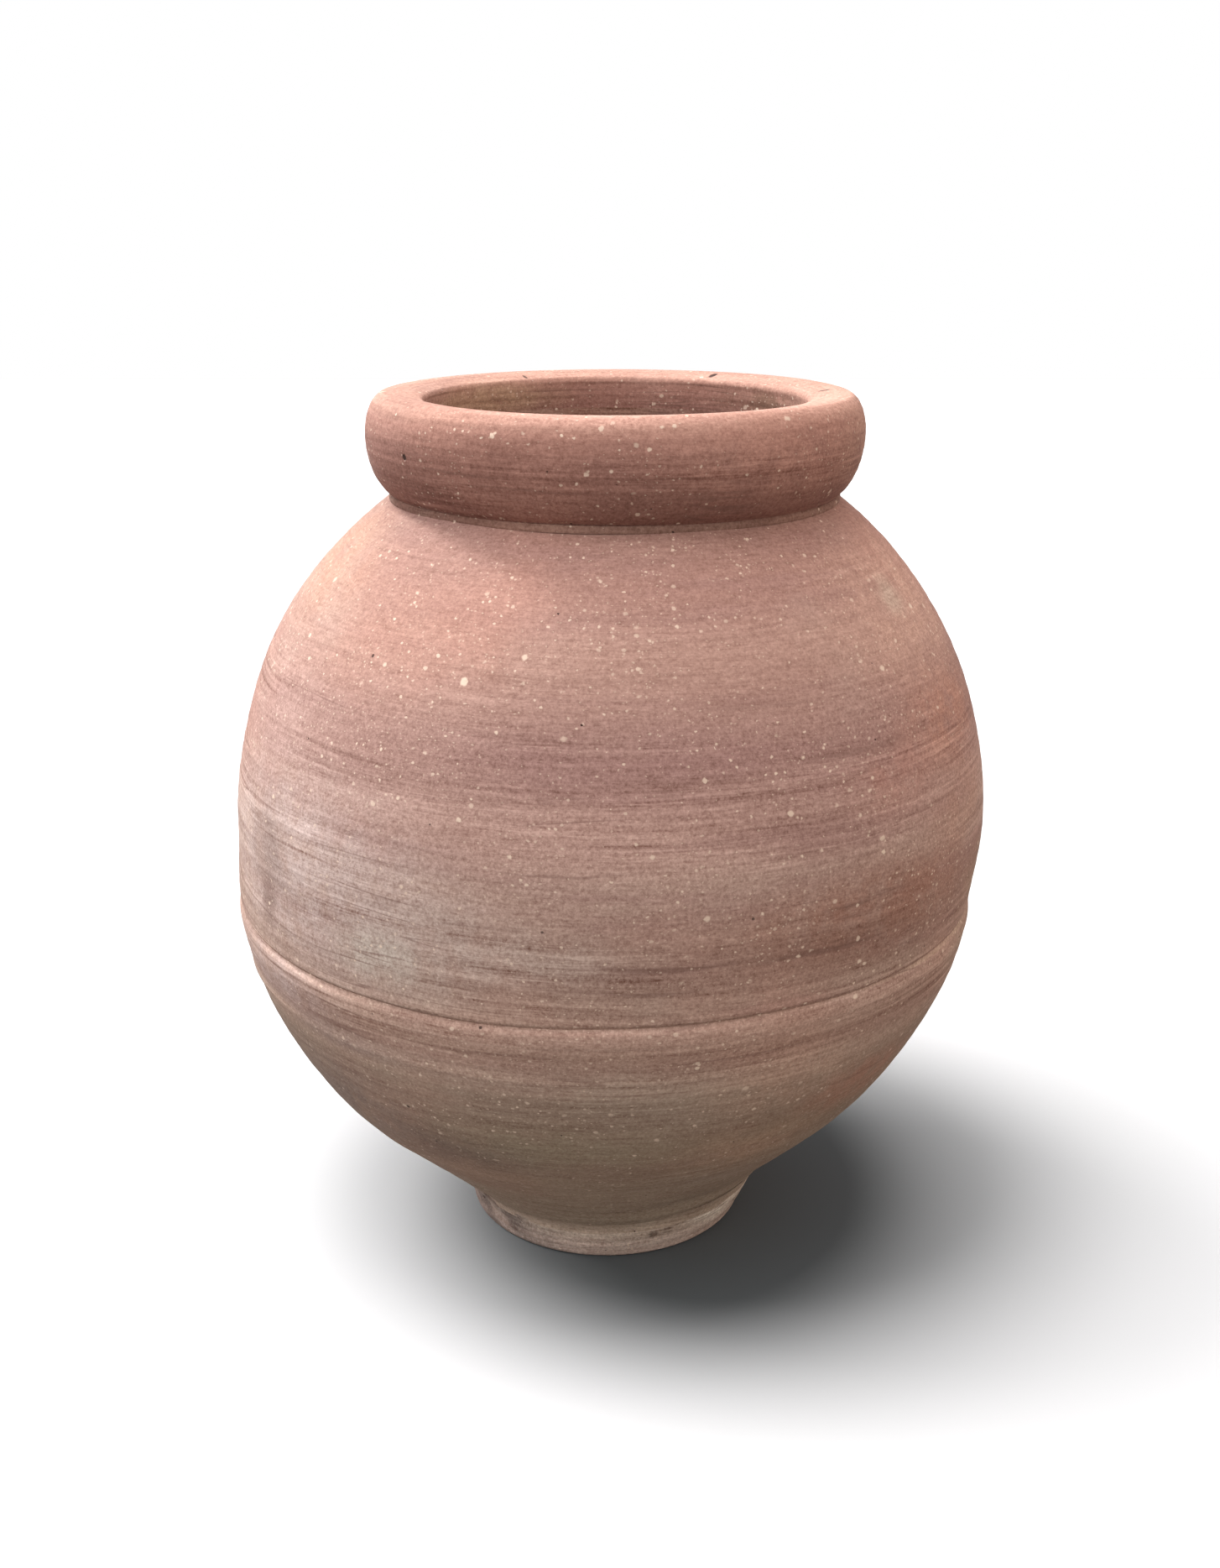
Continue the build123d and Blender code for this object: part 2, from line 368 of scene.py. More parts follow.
def makeFootSlip():
    look = footSlipLook
    bore, top, radius = footLook["bore"], footHigh.z, footHigh.x
    wall = (radius - footLook["groundRadius"], top)
    share = look["down"] / math.hypot(*wall)
    low = (radius - share * wall[0], top - share * wall[1])
    high = (radius + look["up"] * coneDirection[0], baseLow.z + look["up"] * coneDirection[1])

    def ripple(angle, r, z, inner):
        return handRipple(look, angle, z) * ~inner
    faces = outline(
        ((bore, top), 0.012, "joint"),
        ((radius, top), 0.003, "joint"),
        (low, 0.0011, "outside", wall),
        (high, 0.003, "joint"),
        ((radius, baseLow.z), 0.012, "joint"),
        ((bore, baseLow.z), 0.002, "inside"),
    )
    return turned("footSlip", faces, facesAround["ring"], ripple)


# Base slab
baseLook = {
    "topRadius": 0.110,
    "pitches": (0.012, 0.021, 0.034),
    "rings": 0.0009,
    "still": 0.02,
    "seed": 23,
}


def makeBase():
    look = baseLook

    def swirl(angle, r, z, inner):
        rings = throwingRings(angle, r, look["seed"], look["pitches"], look["rings"])
        return rings * np.clip(r / look["still"], 0, 1)  # none at the middle
    faces = outline(
        ((0.0, baseLow.z), 0.0035, "outside"),
        ((footLook["bore"], baseLow.z), 0.014, "joint"),
        ((footHigh.x, baseLow.z), 0.008, "joint"),
        ((look["topRadius"], baseHigh.z), 0.0035, "inside"),
        ((0.0, baseHigh.z), 1.0, "inside"),  # one point on the axis
    )
    return turned("baseSlab", faces, facesAround["slab"], swirl, closed=False)


# Lower bowl with the raised band that the upper half was set into
bowlLook = {
    "cornerHeight": 0.1642,
    "cornerInset": 0.0137,
    "lapHeight": 0.018,
    "lapWall": 0.007,
    "edgeTall": 0.0180,
    "edgeWide": 0.0002,
    "band": 0.0013,
    "bandTall": 0.016,
    "bandRound": 0.3,
    "bandUneven": (0.75, 0.35),
    "bandWaves": (2, 3, 5, 9),
    "ridge": 0.0010,  # fainter second ridge under the band
    "ridgeHeight": 0.262,
    "ridgeTall": 0.0024,
    "ridgeWander": 0.0015,
    "ridgeWaves": (1, 2, 3),
    "ridgeSide": 200,  # degrees, where it is clearest
    "ridgeFaint": 0.35,  # strength on the other side
    "seamLedge": 0.0015,
    "pitches": (0.0105, 0.017, 0.029, 0.047),
    "rings": 0.00042,
    "bulges": 0.0007,
    "insidePitches": (0.013, 0.022, 0.037),
    "insideRings": 0.0011,
    "seed": 31,
}
creasePoint = (footHigh.x, baseLow.z)
bowlRim = (bowlHigh.x, bowlHigh.z)
bowlCorner = (bowlHigh.x - bowlLook["cornerInset"], baseLow.z + bowlLook["cornerHeight"])
coneReach = np.array(bowlCorner) - creasePoint
coneDirection = coneReach / np.hypot(*coneReach)
knee = tuple(np.array(bowlCorner) - math.dist(bowlRim, bowlCorner) * coneDirection)
innerKnee = (knee[0] - clayWall * coneDirection[1], knee[1] + clayWall * coneDirection[0])
seamRadius = bowlHigh.x - bowlLook["seamLedge"]
innerRadius = seamRadius - clayWall
shelf = bowlHigh.z - bowlLook["lapHeight"]
innerShelf = (innerRadius, shelf)
tongueInner = bowlHigh.x - bowlLook["lapWall"]
skirtOuter = tongueInner - slipLayer
wallCentre = circleThrough(innerKnee, coneDirection, innerShelf)[0]
wallLeave = (innerShelf[1] - wallCentre[1], wallCentre[0] - innerShelf[0])  # down the inner wall


def bowlRelief(angle, radius, height, inner):
    look = bowlLook
    seed, run = look["seed"], height + wallLean["bowl"] * radius
    outer = outsideRelief(look, angle, run)
    drop = (bowlHigh.z - height) / look["bandTall"]
    even, changing = look["bandUneven"]
    uneven = even + changing * handWave(angle, seed + 2, look["bandWaves"])
    band = np.clip(1 - (drop - 0.5) ** 2 / look["bandRound"], 0, 1)
    outer = outer + look["band"] * band * uneven
    wander = look["ridgeWander"] * handWave(angle, seed + 4, look["ridgeWaves"])
    ridge = np.exp(-((height - (look["ridgeHeight"] + wander)) / look["ridgeTall"]) ** 2)
    facing = np.maximum(np.cos(angle - math.radians(look["ridgeSide"])), 0)
    faint = look["ridgeFaint"]
    outer = outer + look["ridge"] * ridge * (faint + (1 - faint) * facing)
    return np.where(inner, insideRelief(look, angle, run), outer)


def makeBowl():
    look = bowlLook
    wide, tall = look["edgeWide"], look["edgeTall"]
    leanIn = np.array(bowlRim) - bowlCorner
    edgeLow = tuple(np.array(bowlRim) - tall * leanIn / leanIn[1])
    edgeTop = (edgeLow[0] - wide, bowlRim[1])
    faces = outline(
        (creasePoint, 0.0032, "outside"),
        (knee, 0.003, "outside", coneDirection),
        (edgeLow, 0.0008, "outside", leanIn),
        (edgeTop, 0.003, "joint"),
        ((tongueInner, bowlRim[1]), 0.009, "joint"),
        ((tongueInner, shelf), 0.005, "joint"),
        (innerShelf, 0.0085, "inside", wallLeave),
        (innerKnee, 0.0085, "inside"),
        ((baseLook["topRadius"], baseHigh.z), 0.008, "joint"),
    )
    return turned("lowerBowl", faces, facesAround["wall"], bowlRelief)


# Slip in the lap joint, a little sunk between the two halves
seamSlipLook = {"sunk": 0.0011}


def makeSeamSlip():
    outer = seamRadius - seamSlipLook["sunk"]
    top = bowlHigh.z + slipLayer
    under = shelf + slipLayer
    faces = outline(
        (innerShelf, 0.004, "joint"),
        ((tongueInner, shelf), 0.009, "joint"),
        ((tongueInner, bowlHigh.z), 0.003, "joint"),
        ((outer, bowlHigh.z), 0.00075, "outside"),
        ((outer, top), 0.003, "joint"),
        ((skirtOuter, top), 0.009, "joint"),
        ((skirtOuter, under), 0.004, "joint"),
        ((innerRadius, under), 0.00075, "inside"),
    )
    return turned("seamSlip", faces, facesAround["wall"])


# Coil pressed over the joint, inside
coilLook = {
    "reach": 0.016,
    "bulge": 0.006,
    "ripple": 0.0011,
    "waves": (11, 17, 26, 38),
    "pull": 70,
    "seed": 53,
}


def makeCoil():
    look = coilLook
    bed = tangentArc(innerShelf, wallLeave, innerKnee, 0.0005)
    bed = bed[bed[:, 1] > shelf - look["reach"]][::-1]
    low = tuple(bed[0])
    bed = bed[::5]  # wider apart, from the exact end
    high = (innerRadius, shelf + look["reach"])
    middle = np.array(((low[0] + innerRadius) / 2 - look["bulge"], shelf))
    chord = np.array(low) - high
    length = np.hypot(*chord)
    rise = abs((middle - high) @ (chord[1], -chord[0])) / length
    half = 2 * math.atan(2 * rise / length)
    leave = chord / length * math.cos(half) + np.array((-1, 0)) * math.sin(half)

    def fingerMarks(angle, r, z, inner):
        return handRipple(look, angle, z)
    faces = [
        (bed, "joint"),
        (straight(innerShelf, high, 0.004), "joint"),
        (tangentArc(high, leave, low, 0.0014), "inside"),
    ]
    return turned("innerSeamCoil", faces, facesAround["ring"], fingerMarks)


# Upper half of the belly and the shoulder
bodyLook = {
    "widestHeight": 0.372,
    "neckDepth": 0.016,
    "mouthRadius": 0.1505,
    "hemTall": 0.003,
    "hemWide": 0.0010,
    "groove": 0.0004,  # shallow groove above the seam
    "grooveUp": 0.0075,
    "grooveTall": 0.003,
    "grooveUneven": (0.6, 0.5),
    "grooveWaves": (2, 3, 7),
    "pitches": (0.0095, 0.016, 0.027, 0.044),
    "rings": 0.0004,
    "bulges": 0.0008,
    "insidePitches": (0.014, 0.024, 0.04),
    "insideRings": 0.0012,
    "seed": 67,
}
widest = (bodyHigh.x, bodyLook["widestHeight"])
neckEdge = (collarHigh.x, bodyHigh.z)
mouth = bodyLook["mouthRadius"]


def bodyRelief(angle, radius, height, inner):
    look = bodyLook
    run = height + wallLean["shoulder"] * radius
    groove = np.exp(-((height - bowlHigh.z - look["grooveUp"]) / look["grooveTall"]) ** 2)
    even, changing = look["grooveUneven"]
    uneven = even + changing * handWave(angle, look["seed"] + 2, look["grooveWaves"])
    outer = outsideRelief(look, angle, run) - look["groove"] * groove * uneven
    return np.where(inner, insideRelief(look, angle, run), outer)


def makeBody():
    look = bodyLook
    start = bowlHigh.z + slipLayer
    under = shelf + slipLayer
    neckLow = (mouth, bodyHigh.z - look["neckDepth"])
    rise = tangentArc(widest, (0, -1), (seamRadius, start), 0.003)[::-1]
    rise = rise[rise[:, 1] > start + look["hemTall"]]
    hem = (rise[0][0] - look["hemWide"], rise[0][1])
    hemArc = ellipseArc(hem, look["hemWide"], hem[1] - start, -math.pi / 2, 0, 0.0012)
    insideWidest = (innerRadius, widest[1])
    faces = [
        (straight((innerRadius, under), (skirtOuter, under), 0.004), "joint"),
        (straight((skirtOuter, under), (skirtOuter, start), 0.009), "joint"),
        (straight((skirtOuter, start), (hem[0], start), 0.0035), "joint"),
        (hemArc, "outside"),
        (rise[:-1], "outside"),
        (tangentArc(widest, (0, 1), neckEdge, 0.0031), "outside"),
        (straight(neckEdge, (mouth, neckEdge[1]), 0.005), "joint"),
        (straight((mouth, neckEdge[1]), neckLow, 0.004), "inside"),
        (backArc(insideWidest, (0, 1), neckLow, 0.0105), "inside"),
        (straight(insideWidest, (innerRadius, under), 0.0095), "inside"),
    ]
    return turned("upperBody", faces, facesAround["wall"], bodyRelief)


# Slip under the collar, and the collar that the rim hooks over
collarLook = {"pitches": (0.0062, 0.0105, 0.0165), "rings": 0.0006, "seed": 79}


def collarRings(angle, height):
    look = collarLook
    return throwingRings(angle, height, look["seed"], look["pitches"], look["rings"])


def collarRelief(angle, radius, height, inner):
    return inner * collarRings(angle, height)


def neckRing(low, high, outerStep, innerStep):
    return outline(
        ((mouth, low), 0.005, "joint"),
        ((collarHigh.x, low), outerStep, "joint"),
        ((collarHigh.x, high), 0.005, "joint"),
        ((mouth, high), innerStep, "inside"),
    )


def makeNeckSlip():
    faces = neckRing(bodyHigh.z, collarLow.z, 0.00075, 0.00075)
    return turned("neckSlip", faces, facesAround["ring"])


def makeCollar():
    faces = neckRing(collarLow.z, collarHigh.z, 0.006, 0.0012)
    return turned("neckCollar", faces, facesAround["wall"], collarRelief)


# Rolled rim
rimLook = {
    "widestHeight": 0.6795,
    "crestRadius": 0.1805,
    "lipDrop": 0.005,
    "lipRound": 0.004,
    "tuckRadius": 0.1913,
    "tuckHeight": 0.653,
    "seatRadius": 0.174,
    "curl": 0.03,
    "pitches": (0.0062, 0.0098, 0.0157),
    "rings": 0.0003,
    "bulges": 0.0006,
    "seed": 83,
}
shoulderCentre, shoulderSwing = circleThrough(widest, (0, 1), neckEdge)


def shoulderHeight(radius):
    return shoulderCentre[1] + math.sqrt(shoulderSwing ** 2 - (radius - shoulderCentre[0]) ** 2)


rimSeat = (rimLook["seatRadius"], shoulderHeight(rimLook["seatRadius"]))
rimWidest = (rimHigh.x, rimLook["widestHeight"])
rimTuck = (rimLook["tuckRadius"], rimLook["tuckHeight"])
faceCentre = circleThrough(rimWidest, (0, -1), rimTuck)[0]
tuckDirection = (rimTuck[1] - faceCentre[1], faceCentre[0] - rimTuck[0])
underCentre, underSwing = circleThrough(rimTuck, tuckDirection, rimSeat)


def underRim(height):
    # radius of the rim's underside at that height
    return underCentre[0] + math.sqrt(underSwing ** 2 - (height - underCentre[1]) ** 2)


def rimRelief(angle, radius, height, inner):
    run = np.arctan2(height - rollCentre[1], radius - rollCentre[0]) * rimLook["curl"]
    return np.where(inner, collarRings(angle, height), outsideRelief(rimLook, angle, run))


def makeRim():
    look = rimLook
    crest, top = look["crestRadius"], rimHigh.z
    mouthEdge = (mouth, top - look["lipDrop"])
    lip = tangentArc((crest, top), (-1, 0), mouthEdge, 0.0014)
    lipEnd = lip[np.hypot(*(lip - mouthEdge).T) > look["lipRound"]]
    lipDirection = lipEnd[-1] - lipEnd[-2]
    innerTop = (mouth, mouthEdge[1] - look["lipRound"])
    seat = tangentArc(widest, (0, 1), neckEdge, 0.0007)
    seat = seat[seat[:, 0] < look["seatRadius"]][::-3]
    wide, tall = rimHigh.x - crest, top - rimWidest[1]
    faces = [
        (backArc(rimTuck, tuckDirection, rimSeat, 0.0014), "outside"),
        (backArc(rimWidest, (0, -1), rimTuck, 0.0014), "outside"),
        (ellipseArc((crest, rimWidest[1]), wide, tall, 0, math.pi / 2, 0.0014), "outside"),
        (lipEnd[:-1], "outside"),
        (tangentArc(lipEnd[-1], lipDirection, innerTop, 0.0009), "outside"),
        (straight(innerTop, (mouth, collarHigh.z), 0.0014), "inside"),
        (straight((mouth, collarHigh.z), (collarHigh.x, collarHigh.z), 0.005), "joint"),
        (straight((collarHigh.x, collarHigh.z), neckEdge, 0.006), "joint"),
        (np.concatenate(([neckEdge], seat[1:])), "joint"),
    ]
    return turned("rimRoll", faces, facesAround["rim"], rimRelief)


# Bead of slip in the crease under the rim
beadLook = {
    "wide": 0.0045,
    "tall": 0.0024,
    "swell": 0.0009,
    "bedPoints": 6,
    "ripple": 0.0003,
    "waves": (4, 7, 12, 19, 31),
    "pull": 120,
    "seed": 97,
}


def makeBead():
    look = beadLook
    footRadius, count = look["wide"] + rimSeat[0], look["bedPoints"]
    foot = (footRadius, shoulderHeight(footRadius))
    topHeight = rimSeat[1] + look["tall"]
    top = (underRim(topHeight), topHeight)
    bed = [(r, shoulderHeight(r)) for r in np.linspace(rimSeat[0], footRadius, count)[:-1]]
    chord = np.array(top) - foot
    outward = np.array((chord[1], -chord[0])) / np.hypot(*chord)
    leave = chord + outward * 4 * look["swell"]
    back = [(underRim(z), z) for z in np.linspace(topHeight, rimSeat[1], count)[:-1]]

    def ripple(angle, r, z, inner):
        return handRipple(look, angle, z)
    faces = [
        (np.array(bed), "joint"),
        (tangentArc(foot, leave, top, 0.0007), "outside"),
        (np.array(back), "joint"),
    ]
    return turned("rimBead", faces, facesAround["rim"], ripple)


def tint(red, green, blue):
    # a colour as seen on a screen, 0 to 255, as Blender's linear colour
    def linear(level):
        level = level / 255
        return level / 12.92 if level < 0.04045 else ((level + 0.055) / 1.055) ** 2.4
    return (linear(red), linear(green), linear(blue), 1.0)


def blankTree(holder):
    # the emptied node tree of a material or world
    holder.use_nodes = True
    holder.node_tree.nodes.clear()
    return holder.node_tree


def addNode(tree, kind, ins=None, **props):
    node = tree.nodes.new("ShaderNode" + kind)
    for key, value in props.items():
        setattr(node, key, value)
    for key, value in (ins or {}).items():
        if isinstance(value, bpy.types.NodeSocket):
            tree.links.new(value, node.inputs[key])
        else:
            node.inputs[key].default_value = value
    return node


def sums(tree, operation, first, second=0.0, third=0.0):
    ins = {0: first, 1: second, 2: third}
    return addNode(tree, "Math", ins, operation=operation).outputs[0]


def times(tree, first, second):
    return sums(tree, "MULTIPLY", first, second)


def most(tree, first, second):
    return sums(tree, "MAXIMUM", first, second)


def vectors(tree, operation, first, second=None, scale=None):
    ins = {0: first, 1: second, "Scale": scale}
    ins = {key: value for key, value in ins.items() if value is not None}
    node = addNode(tree, "VectorMath", ins, operation=operation)
    return node.outputs["Value" if operation in ("LENGTH", "DOT_PRODUCT") else "Vector"]


def spread(tree, value, low, high, toLow=0.0, toHigh=1.0, smooth=True):
    kind = "SMOOTHSTEP" if smooth else "LINEAR"
    ins = {"Value": value, "From Min": low, "From Max": high, "To Min": toLow, "To Max": toHigh}
    node = addNode(tree, "MapRange", ins, interpolation_type=kind, clamp=True)
    return node.outputs["Result"]


def mixed(tree, share, under, over):
    node = addNode(tree, "Mix", {0: share, 6: under, 7: over}, data_type="RGBA")
    return node.outputs[2]


def noise(tree, vector, scale=1.0, detail=2.0, rough=0.5, twist=0.0):
    ins = {"Vector": vector, "Scale": scale, "Detail": detail, "Roughness": rough}
    return addNode(tree, "TexNoise", {**ins, "Distortion": twist}).outputs["Fac"]


def heightRamp(tree, height, stops):
    # stops = (height in metres, colour), from low to high
    low, high = stops[0][0], stops[-1][0]
    share = spread(tree, height, low, high, smooth=False)
    ramp = addNode(tree, "ValToRGB", {"Fac": share})
    points = ramp.color_ramp.elements
    points[0].position, points[0].color = 0.0, tint(*stops[0][1])
    points[1].position, points[1].color = 1.0, tint(*stops[-1][1])
    for level, colour in stops[1:-1]:
        point = points.new((level - low) / (high - low))
        point.color = tint(*colour)
    ramp.color_ramp.interpolation = "EASE"
    return ramp.outputs["Color"]


def specks(tree, place, scale, size, sizeSpread, share):
    # round grains cut by the surface: how much of each point is grain, and a random tone
    ins = {"Vector": place, "Scale": scale, "Randomness": 1.0}
    cells = addNode(tree, "TexVoronoi", ins)
    chance = addNode(tree, "SeparateColor", {"Color": cells.outputs["Color"]})
    radius = sums(tree, "MULTIPLY_ADD", chance.outputs["Green"], sizeSpread, size)
    inside = sums(tree, "SUBTRACT", radius, cells.outputs["Distance"])
    inside = sums(tree, "DIVIDE", inside, times(tree, radius, clayCommon["softEdge"]))
    inside = sums(tree, "MINIMUM", most(tree, inside, 0.0), 1.0)
    chosen = sums(tree, "LESS_THAN", chance.outputs["Red"], share)
    return times(tree, inside, chosen), chance.outputs["Blue"]


def surfacePoint(angle, radius, height):
    turn = math.radians(angle)
    x, y, z = settle(np.array([radius]), np.array([turn]), np.array([height]))
    return (float(x[0]), float(y[0]), float(z[0]))


def patchShare(tree, place, mark):
    # one soft spot on the surface: angle in degrees, radius, height, half sizes around and up, core
    angle, radius, height, wide, tall, core = mark
    local = addNode(tree, "Mapping", {
        "Vector": place,
        "Location": surfacePoint(angle, radius, height),
        "Rotation": (0.0, 0.0, math.radians(angle)),
        "Scale": (max(wide, tall, clayCommon["markDepth"]), wide, tall),
    }, vector_type="TEXTURE")
    reach = vectors(tree, "LENGTH", local.outputs["Vector"])
    return spread(tree, reach, 1.0, core)


def withMarks(tree, share, place, marks):
    # the share with single marks added, each with its own strength
    for *mark, strength in marks:
        share = most(tree, times(tree, patchShare(tree, place, mark), strength), share)
    return share


clayCommon = {
    "speckColour": (232, 204, 182),
    "speckRise": 0.00008,
    "weakest": 0.45,  # of a speck's strength
    "softEdge": 0.4,  # of a speck's radius
    "jitter": 0.0024,  # how far specks are out of round
    "jitterScale": 340.0,
    "flattened": (1.0, 1.0, 1.2),
    "pitColour": (50, 33, 28),
    "pitDepth": 0.0009,
    "pitDark": 0.92,
    "pits": (125.0, 0.08, 0.07),  # cells per metre, least size and spread in cells
    "pitShare": 0.022,
    "pitPlace": (0.7, 0.3, 0.9),
    "blushPlace": (3.1, 1.7, 0.4),
    "specular": 0.22,
    "rimRun": 0.034,  # metres of rim per radian of its curl
    "lineClimb": (0.18, 0.26, 0.95),  # off the axis, so no columns show
    "dashes": -0.05,
    "warmth": {"X": 0.88, "Y": 1.06, "Z": 1.12},  # dark lines are warmer
    "sway": 0.016,
    "strokeCore": 0.2,
    "markDepth": 0.01,  # least depth of a mark
}
edgeLook = {  # values between which each comes in, and its strength there if not 0 and 1
    "band": (0.46, 0.68),
    "chalk": (0.52, 0.72),
    "blush": (0.5, 0.72),
    "patchBreakup": (0.3, 0.6, 0.35, 1.0),
    "brush": (0.40, 0.62, 0.25, 1.0),
    "gritty": (0.4, 1.3, 0.72, 1.0),
    "dashes": (0.57, 0.72),
    "drag": (0.02, 0.002),
    "dragged": (0.5, 0.66),
    "pressed": (0.6, 1.0),
    "broken": (0.38, 0.55, 0.35, 1.0),
    "crowd": (0.36, 0.64, 0.35, 1.65),
    "rough": (0.7, 1.3, 0.82, 0.96),
}
noiseLook = {  # scale, detail, roughness
    "drift": (5.0, 1.0),
    "chalk": (6.5, 4.0, 0.55),
    "blush": (5.0, 3.0, 0.5),
    "patchBreakup": (40.0, 4.0, 0.6),
    "grain": (430.0, 3.0, 0.75),
    "mottle": (170.0, 3.0, 0.6),
    "dragged": (7.0, 2.0),
    "sway": (9.0, 2.0),
    "crowd": (15.0, 3.0),
}
lineLook = {  # turns around, tightness up the wall, detail, roughness, offset, twist
    "broad": (1.1, 34.0, 3.0, 0.55, 0.0, 0.0),
    "brush": (1.6, 26.0, 3.0, 0.6, 13.0, 0.0),
    "drag": (0.9, 62.0, 2.0, 0.45, 7.0, 0.0),
    "dashes": (4.5, 200.0, 3.0, 0.6, 21.0, 0.6),
    "middling": (2.2, 150.0, 3.0, 0.6, 4.0, 0.4),
    "long": (1.5, 235.0, 3.0, 0.6, 31.0, 0.3),
    "fine": (3.4, 380.0, 4.0, 0.7, 9.0, 0.6),
    "hair": (9.0, 1000.0, 2.0, 0.6, 2.0, 0.6),
    "sand": (21.0, 520.0, 3.0, 0.7, 17.0, 0.7),  # drawn round by the brush
}
toneLook = {  # how much each pattern changes the tone, and how far it stands up in metres
    "middling": (0.88, 0.00016),
    "long": (1.0, 0.00010),
    "fine": (0.68, 0.00010),
    "hair": (0.35, 0.0),
    "sand": (0.65, 0.00012),
    "grain": (1.65, 0.00020),
    "mottle": (0.50, 0.00018),
}
brushLines = ("middling", "long", "fine", "hair")
grainSizes = (  # cells per metre, least size and spread in cells, share of cells, strength
    (380.0, 0.22, 0.16, 0.20, 0.50),
    (210.0, 0.17, 0.16, 0.21, 0.80),
    (115.0, 0.14, 0.13, 0.18, 0.92),
    (62.0, 0.12, 0.09, 0.075, 0.95),
)


